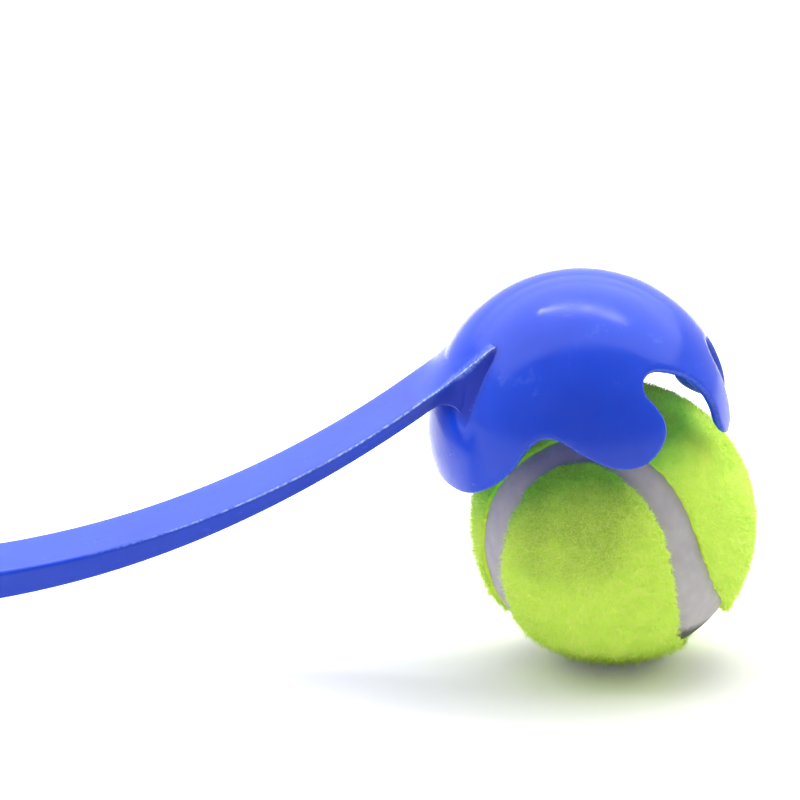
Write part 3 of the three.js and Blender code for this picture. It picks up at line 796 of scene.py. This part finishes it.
def makeFibres(second, coat):
    # short woolly hairs rooted on the panel, each one a bent blade of two faces
    name = ("nap_b" if second else "nap_a") + "_" + str(coat + 1)
    random = np.random.default_rng(felt["seed"] + int(second) + 2 * coat)
    count, lengths, thickness, (low, high) = felt["coats"][coat]
    t, v, width = hairRoots(random, count)
    count = len(t)
    root = panelDirections(t, v, second)
    up = root @ seamRotation.T
    swirl = softNoise(root, 9, 21) * 2.2 + softNoise(root, 30, 22) * 1.6
    helper, other = acrossFrom(up)
    turn = swirl + random.normal(0, felt["turn"], count)
    lean = helper * np.cos(turn)[:, None] + other * np.sin(turn)[:, None]
    bend = np.cross(up, lean)
    length = random.uniform(*lengths, count)[:, None]
    # hairs near a cut edge are shorter, so the edge stays neat
    gap = np.minimum(v, 1 - v)[:, None] * width[:, None] * ball["radius"]
    short = felt["edgeLength"]
    length *= short + (1 - short) * smoothstep(gap, 0, felt["edgeTrim"])
    clump = softNoise(root, 100, 23)
    rise = low + (high - low) * random.uniform(0, 1, count) ** felt["risePower"]
    rise = (rise * (1 + 0.3 * clump))[:, None]
    sway = random.normal(0, felt["sway"], count)[:, None]
    # a blade bends up from its base over its middle to its tip
    base = onBall(root, ball["radius"] - felt["rootDepth"])
    middle = base + lean * length * 0.5 + up * (rise * 0.75 + 0.1) + bend * sway * length * 0.3
    tip = base + lean * length * 0.92 + up * (rise + 0.16) + bend * sway * length
    half = bend * thickness / 2
    points = np.stack([base - half, base + half, middle + half * 0.9, middle - half * 0.9, tip],
                      axis=1)
    # no hair stands out of the halo, which is lower under the cup, or goes through the floor
    offset = points - ballCentre
    far = np.linalg.norm(offset, axis=-1, keepdims=True)
    free = 1 - smoothstep(shelterAt(up), *felt["openSky"])
    rim = ball["radius"] + felt["halo"] + felt["openHalo"] * free
    points = ballCentre + offset * np.minimum(1, rim[:, None, None] / far)
    points[..., 2] = np.maximum(points[..., 2], felt["floorClearance"])
    order = np.arange(count)[:, None] * 5
    faces = [tuple(f) for f in order + np.array([0, 1, 2, 3])]
    faces += [tuple(f) for f in order + np.array([3, 2, 4])]
    piece = meshPiece(name, points.reshape(-1, 3), faces)
    tone = random.normal(*felt["tone"], count) + 0.16 * clump
    tone = np.repeat(np.clip(tone, 0, 1), 5).reshape(-1, 5)
    # painted shade at the roots of the strands
    tone[:, :2] *= felt["rootShade"]
    addValues(piece, "shade", tone)
    shelterPiece(piece, np.repeat(random.uniform(0.1, 1.7, count), 5))
    return piece


def makeSeam():
    rows = ball["seamRows"]
    t = np.linspace(0, 2 * math.pi, rows, endpoint=False)
    edge = (ball["seamWidth"] / 2 + ball["seamSideGap"] * 0.9) / ball["radius"]
    flare = seamFlare(t) / ball["radius"]
    scale, height = ball["seamRipple"]
    ripple = softNoise(alongSeam(t), scale, 31) * height
    shares = np.linspace(-1, 1, ball["seamColumns"])
    places = [besideSeam(t, edge * share + flare * min(share, 0)) for share in shares]
    rings = []
    for share, place in zip(shares, places):
        crown = ball["seamCrown"] * (1 - share ** 2)
        rings.append(onBall(place, ball["radius"] - ball["seamSink"] + ripple + crown))
    for place in places[::-1]:
        rings.append(onBall(place, ball["radius"] - ball["feltThickness"]))
    columns = len(rings)
    points = np.stack(rings, axis=1).reshape(-1, 3)
    faces = gridFaces(rows, columns)
    lastRow = (rows - 1) * columns
    afters = [(column + 1) % columns for column in range(columns)]
    faces += [(lastRow + column, lastRow + after, after, column)
              for column, after in enumerate(afters)]
    piece = meshPiece("seam_rubber_strip", points, faces)
    cleanUp()
    bpy.ops.object.shade_smooth_by_angle(angle=math.radians(ball["smoothAngle"]))
    return piece


panels = [makePanel(False), makePanel(True)]
naps = [makeFibres(second, coat) for second in (False, True) for coat in range(len(felt["coats"]))]
seam = makeSeam()
print("ball", [len(piece.data.polygons) for piece in panels + naps + [seam]])

bodyPiece(cupPiece, "launcher", ["launcher_moulding"])
bodyPiece(armPiece, "launcher", ["launcher_moulding"])
bodyPiece(panels[0], "ball", ["felt_panel_a"])
bodyPiece(panels[1], "ball", ["felt_panel_b"])
for nap in naps:
    bodyPiece(nap, "ball", None)
bodyPiece(seam, "ball", ["seam_strip"])


# materials
def newMaterial(name):
    material = bpy.data.materials.new(name)
    material.use_nodes = True
    nodes, links = material.node_tree.nodes, material.node_tree.links
    return material, nodes, links, nodes["Principled BSDF"]


def setOrLink(links, socket, value):
    if isinstance(value, bpy.types.NodeSocket):
        links.new(value, socket)
    else:
        socket.default_value = value


def attributeValue(nodes, name):
    node = nodes.new("ShaderNodeAttribute")
    node.attribute_name = name
    return node.outputs["Fac"]


def objectPlace(nodes):
    return nodes.new("ShaderNodeTexCoord").outputs["Object"]


def maths(nodes, links, operation, *values):
    node = nodes.new("ShaderNodeMath")
    node.operation = operation
    for socket, value in zip(node.inputs, values):
        setOrLink(links, socket, value)
    return node.outputs[0]


def mapRange(nodes, links, value, fromRange=(0, 1), toRange=(0, 1), way="LINEAR"):
    node = nodes.new("ShaderNodeMapRange")
    node.interpolation_type = way
    names = ("Value", "From Min", "From Max", "To Min", "To Max")
    for name, given in zip(names, (value, *fromRange, *toRange)):
        setOrLink(links, node.inputs[name], given)
    return node.outputs["Result"]


def mixColours(nodes, links, share, one, two, blend="MIX"):
    node = nodes.new("ShaderNodeMixRGB")
    node.blend_type = blend
    for name, given in (("Fac", share), ("Color1", one), ("Color2", two)):
        setOrLink(links, node.inputs[name], (*given, 1) if isinstance(given, tuple) else given)
    return node.outputs["Color"]


def objectNoise(nodes, links, scale, detail=3, roughness=0.55, stretch=None):
    place = objectPlace(nodes)
    noise = nodes.new("ShaderNodeTexNoise")
    noise.inputs["Scale"].default_value = scale
    noise.inputs["Detail"].default_value = detail
    noise.inputs["Roughness"].default_value = roughness
    if stretch:
        mapping = nodes.new("ShaderNodeMapping")
        mapping.inputs["Scale"].default_value = stretch
        links.new(place, mapping.inputs["Vector"])
        place = mapping.outputs["Vector"]
    links.new(place, noise.inputs["Vector"])
    return noise.outputs["Fac"]


def colourRamp(nodes, links, factor, low, high):
    # from the colour at one place of the ramp to the colour at the other
    ramp = nodes.new("ShaderNodeValToRGB")
    for element, (position, colour) in zip(ramp.color_ramp.elements, (low, high)):
        element.position = position
        element.color = (*colour, 1)
    links.new(factor, ramp.inputs["Fac"])
    return ramp.outputs["Color"]


def bump(nodes, links, height, strength, distance):
    node = nodes.new("ShaderNodeBump")
    node.inputs["Strength"].default_value = strength
    node.inputs["Distance"].default_value = distance
    links.new(height, node.inputs["Height"])
    return node.outputs["Normal"]


# noises are scale, detail, roughness and stretch
plastic = {
    "deep": (0.002, 0.050, 0.66), "pale": (0.004, 0.067, 0.78), "cloud": (30, 4),
    "specular": 0.33, "roughness": (0.10, 0.30), "highlightColour": (0.62, 0.78, 1.0),
    "specks": (1100, 3, 0.6), "speckRange": (0.40, 0.60), "speckLevels": (0.35, 1.3),
    "smudges": (60, 5, 0.72), "smudgeRange": (0.60, 0.74), "smudgeLevels": (0, 0.09),
    "paintedNookShade": (0.33, 0.39, 0.56), "scuffs": (70, 6, 0.68, (1, 1.4, 2.6)), "scuffRange": (0.32, 0.72),
    "flow": (48, 3, 0.5, (0.5, 1, 1.8)), "flowStrength": 0.16, "flowDepth": 0.0008,
}


def plasticMaterial():
    material, nodes, links, shader = newMaterial("blue moulded plastic")
    cloud = objectNoise(nodes, links, *plastic["cloud"])
    tone = colourRamp(nodes, links, cloud, (0.35, plastic["deep"]), (0.65, plastic["pale"]))
    # painted highlight along the edges, broken into specks, faint pale smudges, and painted shade
    # in the creases
    specks = mapRange(nodes, links, objectNoise(nodes, links, *plastic["specks"]),
                      plastic["speckRange"], plastic["speckLevels"])
    smudges = mapRange(nodes, links, objectNoise(nodes, links, *plastic["smudges"]),
                       plastic["smudgeRange"], plastic["smudgeLevels"])
    share = maths(nodes, links, "MULTIPLY_ADD", attributeValue(nodes, "paintedHighlight"), specks, smudges)
    tone = mixColours(nodes, links, share, tone, plastic["highlightColour"])
    tone = mixColours(nodes, links, attributeValue(nodes, "paintedNookShade"), tone, plastic["paintedNookShade"],
                      "MULTIPLY")
    links.new(tone, shader.inputs["Base Color"])
    # scuffs in the gloss and the slow waves of a moulded surface
    scuffs = objectNoise(nodes, links, *plastic["scuffs"])
    links.new(mapRange(nodes, links, scuffs, plastic["scuffRange"], plastic["roughness"]),
              shader.inputs["Roughness"])
    shader.inputs["Specular IOR Level"].default_value = plastic["specular"]
    flow = objectNoise(nodes, links, *plastic["flow"])
    links.new(bump(nodes, links, flow, plastic["flowStrength"], plastic["flowDepth"]),
              shader.inputs["Normal"])
    return material


wool = {
    "ground": ((0.58, 0.90, 0.05), (0.74, 1.0, 0.11)),
    "nap": ((0.60, 0.92, 0.07), (0.86, 1.0, 0.24)),
    "strands": (1100, 4, 0.65), "strandShare": 0.45, "toneRange": (0.25, 0.75),
    "shadeGreen": (0.26, 0.80, 0.5), "shadeGreenRange": (0.03, 0.42),
    "roughness": 0.9, "specular": 0.1, "sheenRoughness": 0.45, "sheenTint": (0.85, 1.0, 0.45, 1),
    "bumpStrength": 0.4, "bumpDepth": 0.0003,
}


def feltMaterial(name, low, high):
    # the colour of a strand comes from its own shade, the ground's from fine noise
    material, nodes, links, shader = newMaterial(name)
    strands = objectNoise(nodes, links, *wool["strands"])
    part = maths(nodes, links, "MULTIPLY", strands, wool["strandShare"])
    mix = maths(nodes, links, "MULTIPLY_ADD", attributeValue(nodes, "shade"),
                1 - wool["strandShare"], part)
    first, last = wool["toneRange"]
    tone = colourRamp(nodes, links, mix, (first, low), (last, high))
    # painted shade: felt that the cup shades is darker and greener, and the middle of the front is
    # duller
    shadeGreen = mapRange(nodes, links, attributeValue(nodes, "cupShade"), wool["shadeGreenRange"])
    tone = mixColours(nodes, links, shadeGreen, tone, wool["shadeGreen"], "MULTIPLY")
    tone = mixColours(nodes, links, attributeValue(nodes, "paintedMidShade"), tone, felt["paintedMidShade"],
                      "MULTIPLY")
    links.new(tone, shader.inputs["Base Color"])
    # painted light: the felt glows faintly, less where the cup shades it and near the floor
    glow = mixColours(nodes, links, attributeValue(nodes, "glow"), (0, 0, 0), felt["glow"])
    links.new(glow, shader.inputs["Emission Color"])
    shader.inputs["Emission Strength"].default_value = 1.0
    shader.inputs["Roughness"].default_value = wool["roughness"]
    shader.inputs["Specular IOR Level"].default_value = wool["specular"]
    shader.inputs["Sheen Weight"].default_value = 1.0
    shader.inputs["Sheen Roughness"].default_value = wool["sheenRoughness"]
    shader.inputs["Sheen Tint"].default_value = wool["sheenTint"]
    links.new(bump(nodes, links, strands, wool["bumpStrength"], wool["bumpDepth"]),
              shader.inputs["Normal"])
    return material


rubber = {
    "deep": (0.49, 0.46, 0.485), "pale": (0.59, 0.56, 0.585), "cloud": (240, 4),
    "paintedShade": (0.10, 0.095, 0.09), "floorShadeRange": (0.0128, 0.0152), "floorShadeRagged": 0.004,
    "specks": (900, 4, 0.7), "roughness": 0.7, "specular": 0.3,
    "grain": (1400, 3), "grainStrength": 0.25, "grainDepth": 0.0002,
    "coreDeep": (0.05, 0.045, 0.05), "corePale": (0.08, 0.07, 0.08), "coreCloud": (160, 3),
    "coreRoughness": 0.8,
}


def rubberMaterial():
    material, nodes, links, shader = newMaterial("grey seam rubber")
    cloud = objectNoise(nodes, links, *rubber["cloud"])
    tone = colourRamp(nodes, links, cloud, (0.3, rubber["deep"]), (0.7, rubber["pale"]))
    # painted shade where the seam meets the ground, with a ragged edge
    split = nodes.new("ShaderNodeSeparateXYZ")
    links.new(objectPlace(nodes), split.inputs["Vector"])
    lift = maths(nodes, links, "MULTIPLY_ADD", objectNoise(nodes, links, *rubber["specks"]),
                 rubber["floorShadeRagged"], split.outputs["Z"])
    unshaded = mapRange(nodes, links, lift, rubber["floorShadeRange"])
    links.new(mixColours(nodes, links, unshaded, rubber["paintedShade"], tone), shader.inputs["Base Color"])
    shader.inputs["Roughness"].default_value = rubber["roughness"]
    shader.inputs["Specular IOR Level"].default_value = rubber["specular"]
    grain = objectNoise(nodes, links, *rubber["grain"])
    links.new(bump(nodes, links, grain, rubber["grainStrength"], rubber["grainDepth"]),
              shader.inputs["Normal"])
    return material


def coreMaterial():
    material, nodes, links, shader = newMaterial("dark core rubber")
    cloud = objectNoise(nodes, links, *rubber["coreCloud"])
    tone = colourRamp(nodes, links, cloud, (0.3, rubber["coreDeep"]), (0.7, rubber["corePale"]))
    links.new(tone, shader.inputs["Base Color"])
    shader.inputs["Roughness"].default_value = rubber["coreRoughness"]
    return material


def dimGlow(material):
    material.cycles.emission_sampling = "NONE"
    return material


def dress(piece, material):
    piece.data.materials.clear()
    piece.data.materials.append(material)


plasticLook = plasticMaterial()
# the glow is too faint to be worth sampling as a lamp
feltLook = dimGlow(feltMaterial("yellow green felt", *wool["ground"]))
napLook = dimGlow(feltMaterial("yellow green nap", *wool["nap"]))
rubberLook = rubberMaterial()
coreLook = coreMaterial()
for piece in (cupPiece, armPiece):
    dress(piece, plasticLook)
for piece in panels:
    dress(piece, feltLook)
for piece in naps:
    dress(piece, napLook)
dress(seam, rubberLook)
for name in ("core_half_a", "core_half_b"):
    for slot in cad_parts[name].material_slots:
        slot.material = coreLook
print("materials")


# floor, lights and camera
def seenRays(nodes, links):
    # 1 for rays that show the background: from the camera, mirrored or through clear things
    path = nodes.new("ShaderNodeLightPath")
    total = path.outputs["Is Camera Ray"]
    for name in ("Is Glossy Ray", "Is Transmission Ray"):
        total = maths(nodes, links, "MAXIMUM", total, path.outputs[name])
    return total


stage = {
    "size": 12, "drop": 0.0002, "paint": (0.84, 0.84, 0.83, 1),
    # glow that the camera sees, near the ball and then away from it, over distances in metres
    "glow": (0.11, 0.52), "glowRange": (0.05, 0.11),
}


def makeFloor():
    deselectAll()
    bpy.ops.mesh.primitive_plane_add(size=stage["size"], location=(0, 0, -stage["drop"]))
    floor = bpy.context.active_object
    floor.name = "floor"
    material, nodes, links, _ = newMaterial("white floor")
    nodes.clear()
    out = nodes.new("ShaderNodeOutputMaterial")
    paint = nodes.new("ShaderNodeBsdfDiffuse")
    paint.inputs["Color"].default_value = stage["paint"]
    # away from the ball the floor is nearer to pure white, and the arm's shadow is faint there
    away = nodes.new("ShaderNodeVectorMath")
    away.operation = "DISTANCE"
    away.inputs[1].default_value = (ballCentre[0] * mm, 0, 0)
    links.new(objectPlace(nodes), away.inputs[0])
    spread = mapRange(nodes, links, away.outputs["Value"], stage["glowRange"], stage["glow"],
                      "SMOOTHSTEP")
    glow = nodes.new("ShaderNodeEmission")
    links.new(maths(nodes, links, "MULTIPLY", seenRays(nodes, links), spread),
              glow.inputs["Strength"])
    both = nodes.new("ShaderNodeAddShader")
    links.new(paint.outputs[0], both.inputs[0])
    links.new(glow.outputs[0], both.inputs[1])
    links.new(both.outputs[0], out.inputs["Surface"])
    floor.data.materials.append(material)


def addCeiling(name, place, size, watts, turn):
    # a lamp that looks straight down
    data = bpy.data.lights.new(name, "AREA")
    data.shape = "RECTANGLE"
    data.size, data.size_y = size
    data.energy = watts
    lamp = bpy.data.objects.new(name, data)
    lamp.location = place
    lamp.rotation_euler = (0, 0, math.radians(turn))
    bpy.context.scene.collection.objects.link(lamp)


makeFloor()
centre = Vector(cupCentre * mm)
lamps = {
    # place from the centre of the cup in metres, size, watts, turn
    "overhead softbox": ((0, 1.05, 1.0), (3.4, 2.7), 26, 0),
    "front softbox": ((0, 0.5, 0.98), (3.4, 1.6), 15, 0),
    "long tube": ((0.05, 0.31, 0.93), (0.84, 0.06), 2.6, -19),
}
for name, (place, size, watts, turn) in lamps.items():
    addCeiling(name, centre + Vector(place), size, watts, turn)
room = {"levels": (0.08, 1.15), "range": (-0.6, 0.2)}
world = bpy.data.worlds.new("white room")
bpy.context.scene.world = world
world.use_nodes = True
worldNodes, worldLinks = world.node_tree.nodes, world.node_tree.links
background = worldNodes["Background"]
background.inputs["Color"].default_value = (1, 1, 1, 1)
# the room is brighter behind the launcher than in front of it
parts = worldNodes.new("ShaderNodeSeparateXYZ")
worldLinks.new(worldNodes.new("ShaderNodeTexCoord").outputs["Generated"], parts.inputs["Vector"])
depth = mapRange(worldNodes, worldLinks, parts.outputs["Y"], room["range"], room["levels"],
                 "SMOOTHSTEP")
worldStrength = mapRange(worldNodes, worldLinks, seenRays(worldNodes, worldLinks),
                         toRange=(depth, 1))
worldLinks.new(worldStrength, background.inputs["Strength"])

camera = {"azimuth": -5, "elevation": 16.5, "distance": 1000, "lens": 203.49, "sensor": 36,
          "target": (-47.93, 0, 60.98)}  # from the foot of the ball
azimuth, elevation = math.radians(camera["azimuth"]), math.radians(camera["elevation"])
backward = Vector((math.sin(azimuth) * math.cos(elevation),
                   -math.cos(azimuth) * math.cos(elevation), math.sin(elevation)))
target = Vector((ballCentre[0] + camera["target"][0], *camera["target"][1:])) * mm
lens = bpy.data.cameras.new("camera")
lens.lens = camera["lens"]
lens.sensor_width = camera["sensor"]
lens.clip_end = 20
shot = bpy.data.objects.new("camera", lens)
shot.location = target + backward * camera["distance"] * mm
shot.rotation_euler = backward.to_track_quat("Z", "Y").to_euler()
bpy.context.scene.collection.objects.link(shot)
bpy.context.scene.camera = shot
bpy.context.scene.view_settings.view_transform = "Standard"
print("stage")
